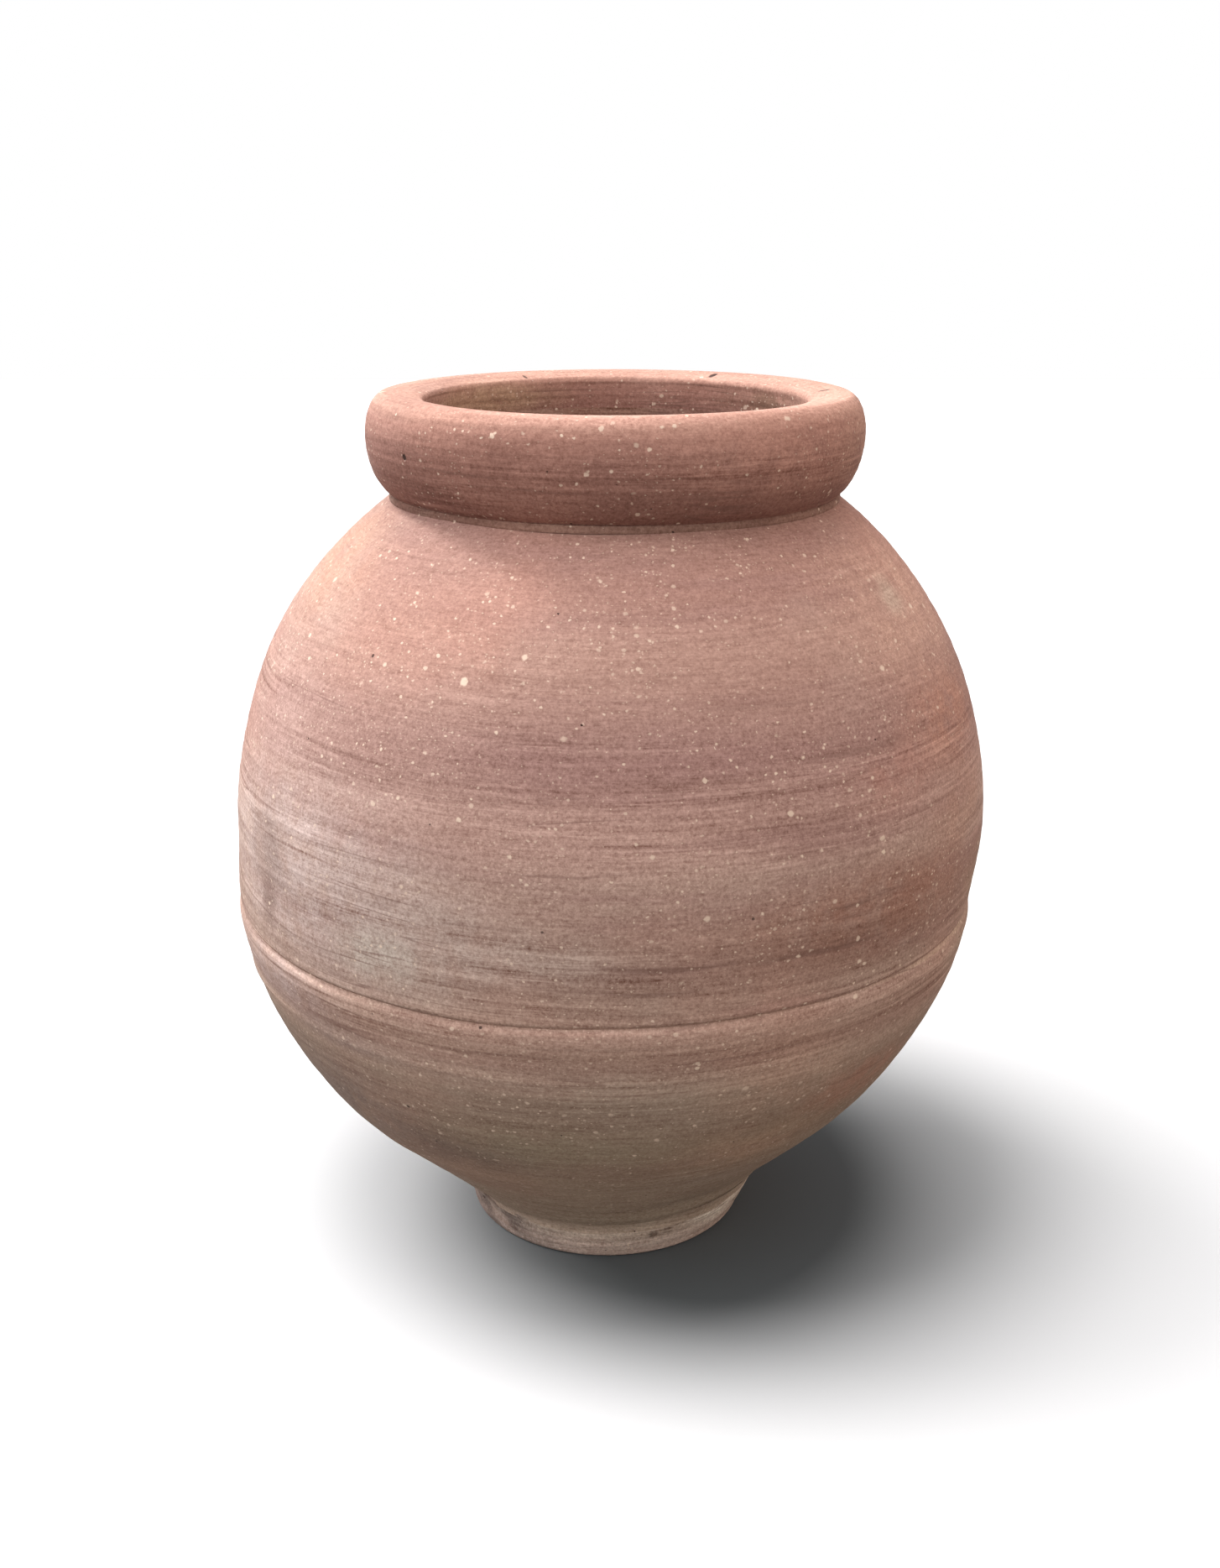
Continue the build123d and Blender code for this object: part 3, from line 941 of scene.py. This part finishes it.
def clay(name, look):
    common, line = clayCommon, look["lines"]
    material = bpy.data.materials.new(name)
    tree = blankTree(material)
    place = addNode(tree, "TexCoord").outputs["Object"]
    height = addNode(tree, "SeparateXYZ", {0: place}).outputs["Z"]
    flat = vectors(tree, "MULTIPLY", place, (1.0, 1.0, 0.0))
    radius = vectors(tree, "LENGTH", flat)
    around = vectors(tree, "NORMALIZE", flat)
    if look["form"] == "roll":
        out = sums(tree, "SUBTRACT", radius, rollCentre[0])
        up = sums(tree, "SUBTRACT", height, rollCentre[1])
        run = times(tree, sums(tree, "ARCTAN2", up, out), common["rimRun"])
    else:
        run = sums(tree, "MULTIPLY_ADD", radius, wallLean[look["form"]], height)

    def cloud(key, where=place):
        return noise(tree, where, *noiseLook[key])

    def edged(value, key):
        return spread(tree, value, *edgeLook[key])

    run = sums(tree, "MULTIPLY_ADD", cloud("drift"), look["waver"], run)

    def lines(key):
        turns, tightness, detail, rough, offset, twist = lineLook[key]
        climb = sums(tree, "MULTIPLY_ADD", run, tightness, offset)
        lift = vectors(tree, "SCALE", common["lineClimb"], scale=climb)
        stretched = vectors(tree, "ADD", vectors(tree, "SCALE", around, scale=turns), lift)
        return noise(tree, stretched, 1.0, detail, rough, twist)

    # tone: colour by height, broad bands and clouds, then patches: stains from the firing, and
    # painted shade and painted highlights where the tables mark them
    colour = heightRamp(tree, height, look["ramp"])
    aside = vectors(tree, "ADD", place, common["blushPlace"])
    clouds = {"band": lines("broad"), "chalk": cloud("chalk"), "blush": cloud("blush", aside)}
    for key, value in clouds.items():
        shade, share = look[key]
        colour = mixed(tree, times(tree, edged(value, key), share), colour, tint(*shade))
    # one broken-up mask over every patch, the painted shade and painted highlights as well as the
    # stains
    patchBreakup = edged(cloud("patchBreakup"), "patchBreakup")
    for *mark, shade, share in look["patches"]:
        patchAmount = times(tree, patchShare(tree, place, mark), patchBreakup)
        colour = mixed(tree, times(tree, patchAmount, share), colour, tint(*shade))

    # brush and wheel lines, fine and middling, under an even sandy grain
    worked = 1.0  # how hard the brush was pressed, by height
    for step in look["streakSteps"]:
        worked = times(tree, spread(tree, height, *step), worked)
    brushed = times(tree, edged(lines("brush"), "brush"), worked)
    dashes = times(tree, edged(lines("dashes"), "dashes"), brushed)
    patterns = {key: lines(key) for key in (*brushLines, "sand")}
    patterns.update({key: cloud(key) for key in ("grain", "mottle")})
    tone, level = times(tree, dashes, common["dashes"] * line), 0.0
    for key, (amount, rise) in toneLook.items():
        away = sums(tree, "SUBTRACT", patterns[key], 0.5)
        if key in brushLines:
            away, amount, rise = times(tree, away, brushed), amount * line, rise * line
        if key == "grain":
            away = times(tree, away, edged(worked, "gritty"))
        tone = sums(tree, "MULTIPLY_ADD", away, amount, tone)
        level = sums(tree, "MULTIPLY_ADD", patterns[key], rise, level)
    warmth = common["warmth"].items()
    warm = {key: sums(tree, "MULTIPLY_ADD", tone, share, 1.0) for key, share in warmth}
    warm = addNode(tree, "CombineXYZ", warm).outputs[0]
    colour = vectors(tree, "MULTIPLY", colour, warm)

    # single dark drags of the brush
    drag = sums(tree, "ABSOLUTE", sums(tree, "SUBTRACT", lines("drag"), 0.5))
    drag = times(tree, edged(drag, "drag"), edged(cloud("dragged"), "dragged"))
    drag = times(tree, drag, edged(worked, "pressed"))
    if look["strokes"]:
        sway = common["sway"]
        sway = sums(tree, "MULTIPLY_ADD", cloud("sway"), sway, -sway / 2)
        sway = addNode(tree, "CombineXYZ", {"Z": sway}).outputs[0]
        swayed = vectors(tree, "ADD", place, sway)
        marks = [(*mark, common["strokeCore"], strength) for *mark, strength in look["strokes"]]
        strokes = withMarks(tree, 0.0, swayed, marks)
        drag = most(tree, drag, times(tree, strokes, edged(patterns["fine"], "broken")))
    shade, share = look["drag"]
    colour = mixed(tree, times(tree, drag, share), colour, tint(*shade))

    # lime grains in four sizes and the single large ones, then pinholes
    jitter, ins = common["jitter"], {"Vector": place, "Scale": common["jitterScale"]}
    away = addNode(tree, "TexNoise", ins).outputs["Color"]
    bent = vectors(tree, "ADD", place, vectors(tree, "SCALE", away, scale=jitter))
    uneven = vectors(tree, "ADD", bent, (-jitter / 2,) * 3)
    bent = vectors(tree, "MULTIPLY", bent, common["flattened"])
    many = times(tree, edged(cloud("crowd"), "crowd"), look["grains"])
    lime = 0.0
    for *size, share, strength in grainSizes:
        grains, chance = specks(tree, bent, *size, times(tree, many, share))
        weakest = strength * common["weakest"]
        pale = spread(tree, chance, 0.0, 1.0, weakest, strength, smooth=False)
        lime = most(tree, times(tree, grains, pale), lime)
    lime = withMarks(tree, lime, uneven, look["limeMarks"])
    colour = mixed(tree, lime, colour, tint(*common["speckColour"]))
    aside = vectors(tree, "ADD", bent, common["pitPlace"])
    holes = specks(tree, aside, *common["pits"], common["pitShare"] * look["pits"])[0]
    holes = withMarks(tree, holes, place, look["pinholes"])
    colour = mixed(tree, times(tree, holes, common["pitDark"]), colour, tint(*common["pitColour"]))

    # the surface: grains raised a little, holes sunk
    level = sums(tree, "MULTIPLY_ADD", lime, common["speckRise"], level)
    level = sums(tree, "MULTIPLY_ADD", holes, -common["pitDepth"], level)
    ins = {"Strength": look["bump"], "Distance": 1.0, "Height": level}
    bump = addNode(tree, "Bump", ins)
    rough = edged(sums(tree, "ADD", patterns["grain"], patterns["fine"]), "rough")
    shader = addNode(tree, "BsdfPrincipled", {
        "Base Color": colour,
        "Roughness": rough,
        "Specular IOR Level": common["specular"],
        "Normal": bump.outputs["Normal"],
    })
    addNode(tree, "OutputMaterial", {"Surface": shader.outputs[0]})
    print("clay mixed:", name, len(tree.nodes), "nodes")
    return material


# Marks are given as angle in degrees, radius, height, half sizes around and up, core, then
# a colour for patches, and a strength; strokes have no core of their own
upperClay = {
    "form": "shoulder",
    "waver": 0.006,
    "ramp": (
        (0.305, (177, 145, 129)), (0.325, (167, 136, 121)), (0.352, (164, 132, 118)),
        (0.375, (169, 136, 122)), (0.410, (178, 145, 131)), (0.440, (179, 142, 129)),
        (0.490, (161, 124, 113)), (0.560, (175, 136, 122)), (0.600, (168, 127, 114)),
        (0.640, (158, 119, 107)),
    ),
    # colour and share of the bands and clouds
    "band": ((150, 112, 104), 0.42),
    "chalk": ((190, 164, 150), 0.3),
    "blush": ((178, 128, 112), 0.45),
    "drag": ((112, 80, 70), 0.6),
    "strokes": (  # single long brush lines
        (-82, 0.3098, 0.355, 0.085, 0.0038, 1.0),
        (-60, 0.3096, 0.351, 0.095, 0.0042, 1.0),
        (-53, 0.3096, 0.3825, 0.07, 0.0034, 0.9),
        (-88, 0.3092, 0.337, 0.1, 0.0028, 0.9),
        (-108, 0.3098, 0.38, 0.055, 0.002, 0.6),
        (-96, 0.306, 0.424, 0.065, 0.0018, 0.7),
        (-68, 0.27, 0.524, 0.07, 0.0022, 0.5),
        (-54, 0.287, 0.488, 0.075, 0.0024, 0.6),
        (-118, 0.309, 0.391, 0.045, 0.0018, 0.5),
        (100, 0.309, 0.365, 0.1, 0.0026, 0.8),
        (60, 0.295, 0.46, 0.08, 0.0022, 0.6),
        (160, 0.3085, 0.345, 0.09, 0.0026, 0.8),
    ),
    "lines": 1.0,
    # heights between which streaks change strength, and the strengths
    "streakSteps": ((0.560, 0.480, 0.45, 1.25), (0.385, 0.350, 1.0, 1.35)),
    "grains": 1.0,
    "pits": 1.0,
    "bump": 0.8,
    "patches": (
        (-140, 0.309, 0.385, 0.21, 0.11, 0.1, (203, 179, 172), 0.6),
        (-114, 0.309, 0.362, 0.1, 0.06, 0.1, (196, 174, 162), 0.5),
        (-122, 0.309, 0.345, 0.06, 0.03, 0.2, (190, 174, 160), 0.6),
        (-150, 0.28, 0.49, 0.11, 0.055, 0.1, (192, 155, 144), 0.5),
        (-28, 0.285, 0.488, 0.11, 0.055, 0.1, (190, 136, 114), 0.6),
        (-165, 0.225, 0.59, 0.12, 0.06, 0.1, (190, 146, 120), 0.5),
        (-147, 0.309, 0.392, 0.05, 0.055, 0.2, (132, 105, 95), 0.6),
        (-147, 0.31, 0.35, 0.018, 0.03, 0.3, (118, 90, 80), 0.6),
        (-25, 0.245, 0.57, 0.16, 0.08, 0.1, (203, 161, 142), 0.75),
        (-29.6, 0.237, 0.573, 0.03, 0.022, 0.2, (188, 168, 150), 0.5),
        (-50, 0.309, 0.37, 0.18, 0.055, 0.2, (150, 100, 81), 0.6),
        (-28, 0.306, 0.42, 0.09, 0.04, 0.1, (188, 142, 121), 0.4),
        # darker patch on the shoulder at the front left, under the rim: painted shadow of the rim
        (-132, 0.2, 0.612, 0.11, 0.03, 0.1, (152, 114, 103), 0.4),
        (-17, 0.309, 0.345, 0.08, 0.048, 0.1, (152, 126, 102), 0.6),
        (-62, 0.303, 0.432, 0.085, 0.036, 0.1, (146, 110, 100), 0.5),
        (-60, 0.309, 0.352, 0.14, 0.026, 0.1, (142, 110, 96), 0.35),
        (-87, 0.284, 0.502, 0.15, 0.032, 0.2, (152, 114, 107), 0.4),
        (-47, 0.297, 0.462, 0.07, 0.032, 0.1, (168, 110, 94), 0.35),
        (-98, 0.309, 0.362, 0.075, 0.034, 0.1, (196, 176, 164), 0.3),
    ),
    "limeMarks": (
        (-113.1, 0.2612, 0.5402, 0.0036, 0.0034, 0.55, 0.85),
        (-104, 0.2495, 0.5574, 0.0026, 0.0024, 0.5, 0.75),
        (-65.8, 0.2985, 0.4561, 0.003, 0.0026, 0.5, 0.75),
        (-77.8, 0.3095, 0.3903, 0.0028, 0.0026, 0.5, 0.75),
        (-51, 0.3055, 0.4252, 0.0034, 0.0024, 0.5, 0.75),
        (-124.1, 0.2991, 0.4541, 0.0024, 0.0022, 0.5, 0.7),
        (-84.8, 0.3035, 0.4356, 0.0024, 0.0022, 0.5, 0.7),
        (-55, 0.3085, 0.3542, 0.002, 0.0032, 0.5, 0.75),
        (-77.5, 0.2899, 0.4834, 0.0024, 0.0022, 0.5, 0.7),
        (-59.5, 0.3092, 0.3884, 0.0022, 0.002, 0.5, 0.65),
    ),
    "pinholes": (
        (-71.6, 0.3097, 0.3866, 0.0013, 0.0013, 0.5, 0.85),
        (-98.7, 0.3098, 0.382, 0.0013, 0.0012, 0.5, 0.75),
        (-131.9, 0.2578, 0.5454, 0.0014, 0.0014, 0.6, 0.9),
    ),
}
lowerClay = dict(
    upperClay,
    form="bowl",
    streakSteps=((0.250, 0.275, 0.8, 1.5),),
    strokes=(
        (-105, 0.307, 0.284, 0.08, 0.0018, 0.6),
        (-70, 0.306, 0.279, 0.09, 0.002, 0.7),
        (-45, 0.29, 0.225, 0.07, 0.0022, 0.6),
    ),
    ramp=(
        (0.045, (184, 158, 137)), (0.110, (172, 145, 125)), (0.190, (156, 130, 111)),
        (0.240, (160, 134, 117)), (0.261, (185, 154, 137)), (0.275, (168, 134, 119)),
        (0.287, (172, 138, 122)), (0.296, (184, 149, 133)), (0.309, (178, 144, 129)),
    ),
    band=((150, 118, 104), 0.35),
    chalk=((186, 164, 146), 0.3),
    blush=((180, 136, 118), 0.35),
    grains=0.95,
    pits=0.8,
    patches=(
        (-138, 0.262, 0.19, 0.14, 0.075, 0.1, (136, 116, 107), 0.75),
        (-148, 0.305, 0.29, 0.13, 0.03, 0.2, (196, 172, 167), 0.5),
        # darker strip along the band's top at the left: painted shade that tones down the lit edge
        # of the seam
        (-152, 0.308, 0.306, 0.15, 0.009, 0.3, (150, 123, 114), 0.35),
        # pale line along the band's top on the right: worn edge and painted highlight
        (-32, 0.3075, 0.3072, 0.14, 0.0024, 0.3, (192, 164, 138), 0.4),
        # the next two, paler patches on the lower right of the bowl: painted light from the right
        (-62, 0.29, 0.245, 0.11, 0.05, 0.1, (198, 158, 137), 0.4),
        (-65, 0.2555, 0.172, 0.09, 0.045, 0.1, (194, 155, 130), 0.5),
        (-114, 0.264, 0.174, 0.085, 0.04, 0.1, (118, 96, 86), 0.75),
        (-90, 0.2, 0.1, 0.11, 0.04, 0.1, (196, 170, 147), 0.5),
        (-132, 0.305, 0.264, 0.09, 0.018, 0.1, (146, 122, 116), 0.45),
        # darker patch on the band at the right: painted shade that tones down the lit ridge
        (-16, 0.306, 0.294, 0.09, 0.034, 0.1, (144, 119, 97), 0.6),
        (-45, 0.28, 0.212, 0.09, 0.04, 0.2, (180, 126, 106), 0.55),
        (-97, 0.262, 0.19, 0.14, 0.04, 0.2, (160, 142, 120), 0.5),
    ),
    limeMarks=(
        (-121.5, 0.281, 0.2145, 0.004, 0.0018, 0.5, 0.6),
        (-108.2, 0.259, 0.1703, 0.0048, 0.0013, 0.4, 0.55),
        (-105, 0.187, 0.0952, 0.0062, 0.0014, 0.4, 0.5),
        (-105.8, 0.22, 0.1267, 0.005, 0.0012, 0.4, 0.4),
        (-91.1, 0.2815, 0.2137, 0.0026, 0.002, 0.5, 0.6),
        (-81.8, 0.2735, 0.2018, 0.0028, 0.0022, 0.5, 0.65),
        (-86.3, 0.23, 0.1408, 0.004, 0.0012, 0.4, 0.45),
    ),
    pinholes=(
        (-106.4, 0.3088, 0.3065, 0.0015, 0.0012, 0.6, 0.9),
        (-121, 0.2816, 0.2146, 0.0018, 0.0014, 0.6, 0.9),
    ),
)
rimClay = dict(
    upperClay,
    form="roll",
    waver=0.0015,
    streakSteps=((0.700, 0.672, 0.6, 1.25),),
    strokes=(
        (-126, 0.195, 0.667, 0.06, 0.0016, 0.7),
        (-138, 0.1958, 0.677, 0.05, 0.0013, 0.6),
        (-108, 0.1925, 0.66, 0.07, 0.0017, 0.6),
        (-62, 0.1935, 0.664, 0.065, 0.0016, 0.4),
        (62, 0.1505, 0.6985, 0.05, 0.0009, 1.0),
        (50, 0.1505, 0.695, 0.06, 0.0008, 0.9),
        (75, 0.1505, 0.6915, 0.07, 0.0008, 0.8),
        (110, 0.1505, 0.6935, 0.08, 0.0009, 0.7),
    ),
    ramp=(
        (0.630, (136, 95, 83)), (0.655, (137, 96, 84)), (0.680, (148, 105, 93)),
        (0.696, (168, 122, 108)), (0.711, (184, 140, 123)),
    ),
    band=((132, 92, 82), 0.3),
    chalk=((190, 164, 150), 0.15),
    grains=0.75,
    patches=(
        (-52, 0.196, 0.684, 0.16, 0.05, 0.1, (184, 134, 118), 0.75),
        (-122, 0.196, 0.674, 0.13, 0.034, 0.1, (120, 80, 69), 0.5),
        # paler band on the rim's top at the front: painted highlight
        (-90, 0.174, 0.7095, 0.13, 0.012, 0.2, (206, 156, 140), 0.5),
        (25, 0.152, 0.688, 0.11, 0.02, 0.3, (114, 85, 67), 0.75),
        (140, 0.152, 0.69, 0.11, 0.02, 0.3, (192, 157, 128), 0.7),
        (-15, 0.196, 0.68, 0.09, 0.05, 0.1, (182, 140, 121), 0.6),
        # paler patch on the rim's top at the right: painted highlight
        (-28, 0.176, 0.709, 0.09, 0.012, 0.2, (206, 158, 140), 0.5),
    ),
    limeMarks=(
        (-116.8, 0.193, 0.6955, 0.0026, 0.0026, 0.6, 0.85),
        (-50.5, 0.1875, 0.7045, 0.004, 0.0018, 0.5, 0.8),
        (-93.3, 0.189, 0.7026, 0.0022, 0.0022, 0.6, 0.75),
    ),
    pinholes=(
        (-142.2, 0.1959, 0.6732, 0.0029, 0.0027, 0.6, 1.0),
        (59, 0.163, 0.7083, 0.0036, 0.0024, 0.5, 1.0),
        (3.9, 0.1656, 0.7088, 0.0026, 0.0022, 0.5, 1.0),
        (119.5, 0.1584, 0.707, 0.0016, 0.0016, 0.6, 0.8),
    ),
)
footClay = dict(
    upperClay,
    form="level",
    waver=0.002,
    streakSteps=((0.0, 0.02, 1.0, 1.5),),
    strokes=(),
    ramp=(
        (0.000, (190, 162, 150)), (0.010, (200, 172, 158)), (0.028, (208, 182, 164)),
        (0.040, (198, 170, 150)),
    ),
    band=((166, 138, 122), 0.4),
    chalk=((206, 186, 170), 0.35),
    blush=((182, 150, 134), 0.3),
    grains=0.5,
    pits=0.6,
    patches=(
        # dark patch at the foot's left, under the overhanging bowl: painted shade
        (-142, 0.122, 0.02, 0.095, 0.045, 0.2, (114, 96, 88), 0.9),
        # pale patch on the foot's right: painted highlight where the light falls on that face
        (-42, 0.122, 0.032, 0.06, 0.028, 0.3, (246, 226, 208), 0.95),
        (-73.6, 0.1222, 0.022, 0.006, 0.0062, 0.35, (76, 56, 45), 0.95),
        (-73.2, 0.1222, 0.0214, 0.0026, 0.0028, 0.4, (150, 124, 108), 0.8),
        (-69, 0.1222, 0.0254, 0.009, 0.0022, 0.3, (80, 60, 48), 0.9),
        (-68, 0.1222, 0.0216, 0.008, 0.0018, 0.3, (92, 70, 57), 0.75),
        (-65, 0.1225, 0.0275, 0.012, 0.0022, 0.35, (104, 80, 66), 0.6),
    ),
    limeMarks=(),
    pinholes=((-153.1, 0.1223, 0.0238, 0.003, 0.0018, 0.5, 0.9),),
)
unmarked = {"strokes": (), "patches": (), "limeMarks": (), "pinholes": ()}
slipClay = dict(
    lowerClay,
    **unmarked,
    form="level",
    ramp=(
        # the stops at 0.300 and 0.320, where the slip sits sunk in the seam, are darker than the
        # walls beside them: painted shade in the groove
        (0.030, (196, 168, 148)), (0.050, (186, 159, 138)), (0.300, (152, 121, 106)),
        (0.320, (152, 121, 106)), (0.620, (126, 90, 78)), (0.650, (120, 84, 72)),
    ),
    grains=0.4,
)
insideClay = dict(
    upperClay,
    **unmarked,
    form="level",
    streakSteps=((0.600, 0.660, 1.0, 1.5),),
    ramp=(
        (0.030, (164, 130, 114)), (0.300, (168, 132, 116)), (0.640, (150, 114, 97)),
        (0.700, (150, 111, 95)),
    ),
    grains=0.6,
    lines=1.2,
)
clays = {
    "upper": clay("clayUpper", upperClay),
    "lower": clay("clayLower", lowerClay),
    "rim": clay("clayRim", rimClay),
    "foot": clay("clayFoot", footClay),
    "slip": clay("claySlip", slipClay),
    "inside": clay("clayInside", insideClay),
}
sections = {  # node: maker, clay, slot name
    "foot_ring": (makeFoot, "foot", "terracotta_foot"),
    "foot_slip": (makeFootSlip, "slip", "slip"),
    "base_disc": (makeBase, "inside", "terracotta_body"),
    "lower_bowl": (makeBowl, "lower", "terracotta_body"),
    "seam_slip": (makeSeamSlip, "slip", "slip"),
    "inner_seam_coil": (makeCoil, "inside", "terracotta_body"),
    "upper_body": (makeBody, "upper", "terracotta_body"),
    "neck_slip": (makeNeckSlip, "inside", "slip"),
    "neck_collar": (makeCollar, "inside", "terracotta_rim"),
    "rim_roll": (makeRim, "rim", "terracotta_rim"),
    "rim_bead": (makeBead, "slip", "slip"),
}
pieces = {}
for node, (makeSection, clayName, slotName) in sections.items():
    piece = pieces[node] = makeSection()
    piece.data.materials.append(clays[clayName])
    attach(piece, "root")
    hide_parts(node)
print("sections turned and dressed:", len(pieces))

# Floor, light and camera
stageLook = {
    "floorSize": 14.0,
    "floorSeen": (0.0935, 0.1007, 0.1046, 1.0),
    "floorBounce": (0.012, 0.01164, 0.01116, 1.0),  # what the jar sees of the floor
}
skyLook = {  # soft boxes: direction, tightness, strength in red, green and blue
    "upperLeft": ((-0.707, 0.0, 0.707), 4.0, (2.92, 3.07, 3.18)),
    "front": ((0.0, -1.0, 0.0), 2.0, (1.05, 1.11, 1.08)),
    "right": ((1.0, 0.0, 0.0), 2.0, (1.01, 0.83, 0.68)),
    "back": ((0.0, 1.0, 0.0), 2.0, (1.09, 1.05, 1.05)),
    "top": ((0.0, 0.0, 1.0), 2.0, (1.01, 0.94, 0.99)),
}
lampLook = {  # strength, colour, azimuth, elevation and spread in degrees
    "key": (3.5, (0.923, 0.992, 1.0), 138.5, 47.0, 11.0),
    "floorKey": (13.4, (1.0, 0.904, 0.870), 162.0, 46.0, 38.0),
    "floorFill": (17.6, (1.0, 0.904, 0.870), 192.0, 66.0, 38.0),
    "floorTop": (14.2, (1.0, 0.904, 0.870), 215.0, 87.0, 38.0),
}
cameraLook = {
    "location": (-0.0017, -1.4097, 0.8641),
    "pitchDown": 18.78,
    "lens": 51.97,
    "sensor": 36.0,
}


def seenRay(tree):
    path = addNode(tree, "LightPath")
    seen = most(tree, path.outputs["Is Camera Ray"], path.outputs["Is Glossy Ray"])
    return most(tree, seen, path.outputs["Is Transmission Ray"])


def makeFloor():
    half = stageLook["floorSize"] / 2
    mesh = bpy.data.meshes.new("floor")
    corners = [(-half, -half, 0), (half, -half, 0), (half, half, 0), (-half, half, 0)]
    mesh.from_pydata(corners, [], [(0, 1, 2, 3)])
    floor = bpy.data.objects.new("floor", mesh)
    scene.collection.objects.link(floor)
    material = bpy.data.materials.new("paleFloor")
    tree = blankTree(material)
    shown = addNode(tree, "BsdfDiffuse", {"Color": stageLook["floorSeen"]}).outputs[0]
    bounce = addNode(tree, "BsdfDiffuse", {"Color": stageLook["floorBounce"]}).outputs[0]
    mix = addNode(tree, "MixShader", {0: seenRay(tree), 1: bounce, 2: shown})
    addNode(tree, "OutputMaterial", {"Surface": mix.outputs[0]})
    mesh.materials.append(material)
    return floor


def makeSky():
    scene.world = bpy.data.worlds.new("studio")
    tree = blankTree(scene.world)
    way = addNode(tree, "TexCoord").outputs["Generated"]
    total = (0.0, 0.0, 0.0)
    for direction, tightness, strength in skyLook.values():
        facing = most(tree, vectors(tree, "DOT_PRODUCT", way, direction), 0.0)
        glow = addNode(tree, "CombineXYZ", dict(enumerate(strength)))
        lobe = vectors(tree, "SCALE", glow.outputs[0], scale=sums(tree, "POWER", facing, tightness))
        total = vectors(tree, "ADD", lobe, total)
    sky = addNode(tree, "Background", {"Color": total}).outputs[0]
    white = addNode(tree, "Background", {"Color": (1.0, 1.0, 1.0, 1.0)}).outputs[0]
    mix = addNode(tree, "MixShader", {0: seenRay(tree), 1: sky, 2: white})
    addNode(tree, "OutputWorld", {"Surface": mix.outputs[0]})


def makeLamp(name, receivers):
    strength, colour, azimuth, rise, softness = lampLook[name]
    lamp = bpy.data.lights.new(name, "SUN")
    lamp.energy, lamp.color, lamp.angle = strength, colour, math.radians(softness)
    holder = bpy.data.objects.new(name, lamp)
    holder.rotation_euler = (math.radians(90 - rise), 0.0, math.radians(azimuth + 90))
    scene.collection.objects.link(holder)
    lit = bpy.data.collections.new(name + "Lights")  # what this lamp shines on
    for piece in receivers:
        lit.objects.link(piece)
    holder.light_linking.receiver_collection = lit


def makeCamera():
    look = cameraLook
    data = bpy.data.cameras.new("camera")
    data.sensor_fit, data.sensor_width, data.lens = "HORIZONTAL", look["sensor"], look["lens"]
    camera = bpy.data.objects.new("camera", data)
    camera.location = look["location"]
    camera.rotation_euler = (math.radians(90 - look["pitchDown"]), 0.0, 0.0)
    scene.collection.objects.link(camera)
    scene.camera = camera


floor = makeFloor()
makeSky()
makeLamp("key", pieces.values())
for lampName in ("floorKey", "floorFill", "floorTop"):
    makeLamp(lampName, [floor])
makeCamera()
print("stage set")
